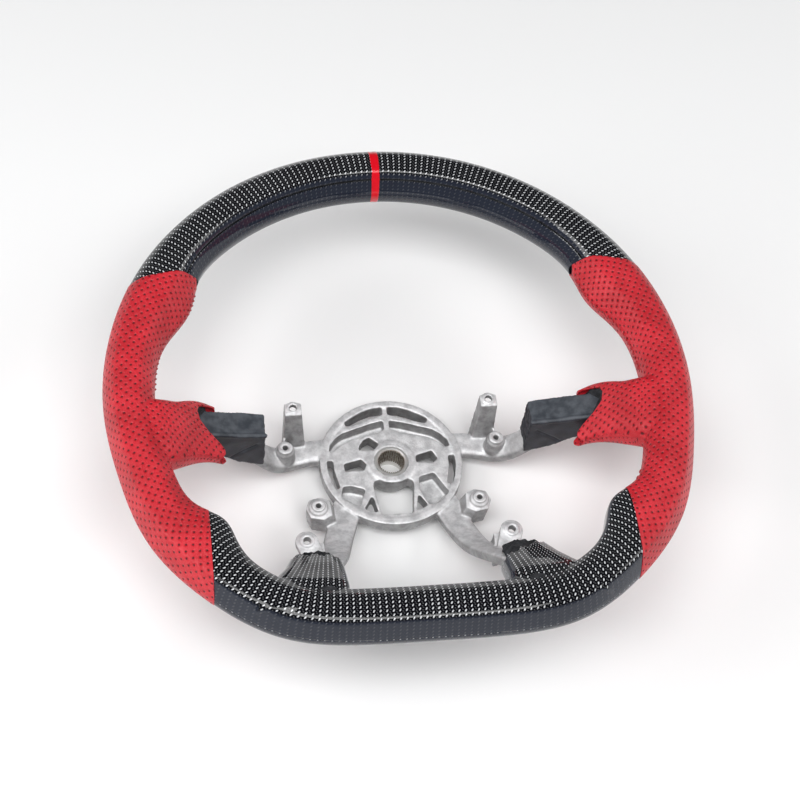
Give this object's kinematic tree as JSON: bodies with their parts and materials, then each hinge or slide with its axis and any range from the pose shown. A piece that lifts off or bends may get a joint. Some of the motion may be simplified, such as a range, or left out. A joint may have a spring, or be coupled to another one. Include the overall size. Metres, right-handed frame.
{
  "type": "steering wheel",
  "caption": "Flat-bottomed car steering wheel core: splined die-cast hub with four spokes, carbon-shelled rim and leather side grips.",
  "frame": {"origin": "on the spline axis at the rear end of the splined bush, where it seats on the steering column", "axes": "+Z along the spline axis towards the driver, +Y to 12 o'clock, +X to the right as the driver sees it"},
  "size_m": [0.375, 0.3629, 0.1169],
  "materials": {
    "cast_aluminium": "as-cast, lightly blasted",
    "bush_steel": "machined, oiled",
    "core_steel": "drawn tube",
    "red_band": "gloss under clear coat",
    "carbon": "woven carbon under gloss clear coat",
    "black_foam": "moulded skin foam",
    "block_rubber": "moulded satin",
    "red_leather": "perforated, satin",
    "thread": "waxed thread"
  },
  "bodies": {
    "root": {"hub_casting": "cast_aluminium", "spline_bush": "bush_steel", "rim_core": "core_steel", "centre_band": "red_band", "carbon_upper_front": "carbon", "carbon_upper_rear": "carbon", "carbon_lower_front": "carbon", "carbon_lower_rear": "carbon", "foam_upper": "black_foam", "foam_lower": "black_foam", "grip_foam_left": "black_foam", "grip_foam_right": "black_foam", "spoke_block_left": "block_rubber", "spoke_block_right": "block_rubber", "leather_grip_left": "red_leather", "leather_grip_right": "red_leather", "seam_thread_left": "thread", "seam_thread_right": "thread"}
  },
  "joints": []
}
